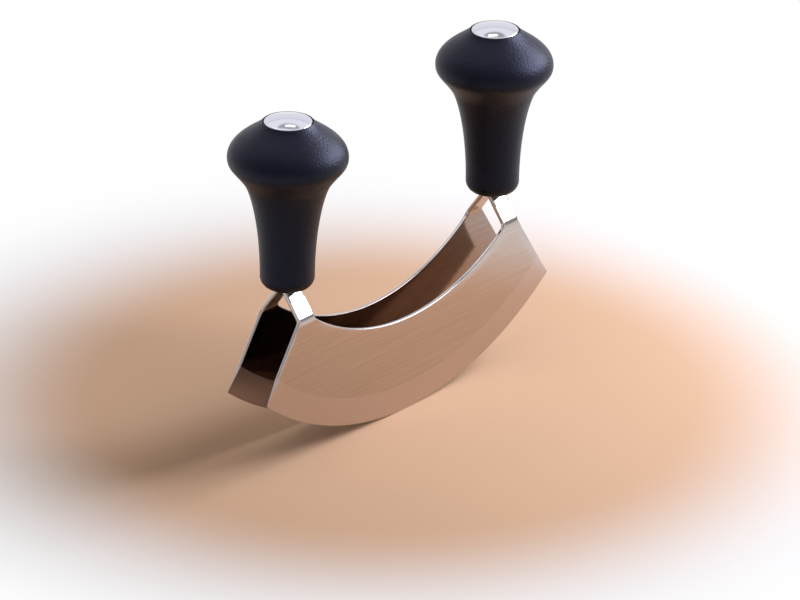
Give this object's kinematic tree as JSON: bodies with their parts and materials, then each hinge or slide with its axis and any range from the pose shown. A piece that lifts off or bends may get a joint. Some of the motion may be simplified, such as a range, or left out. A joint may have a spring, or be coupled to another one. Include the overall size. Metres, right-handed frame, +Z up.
{
  "type": "mezzaluna",
  "caption": "Rocking herb chopper with parallel crescent steel blades joined to upright black knob handles with small polished steel caps.",
  "frame": {"origin": "on the surface it stands on, midway between the two handles and between the two blades", "axes": "+X from the left handle to the right one along the blades, +Y from the front blade to the rear one, +Z up along the handles"},
  "size_m": [0.1466, 0.04, 0.1202],
  "materials": {
    "blade_steel": "mirror-polished stainless sheet, satin ground bevel",
    "cap_steel": "pressed stainless dome, polished",
    "soft_grip": "soft-touch black with a fine moulded grain",
    "hard_plastic": "moulded black plastic, fine satin",
    "fastener_steel": "plain steel"
  },
  "bodies": {
    "root": {"front_blade": "blade_steel", "rear_blade": "blade_steel", "left_grip": "soft_grip", "left_core": "hard_plastic", "left_lower_rivet": "fastener_steel", "left_upper_rivet": "fastener_steel", "left_nut": "fastener_steel", "left_screw": "fastener_steel", "left_washer": "fastener_steel", "left_cap_plug": "hard_plastic", "left_cap": "cap_steel", "right_grip": "soft_grip", "right_core": "hard_plastic", "right_lower_rivet": "fastener_steel", "right_upper_rivet": "fastener_steel", "right_nut": "fastener_steel", "right_screw": "fastener_steel", "right_washer": "fastener_steel", "right_cap_plug": "hard_plastic", "right_cap": "cap_steel"}
  },
  "joints": []
}
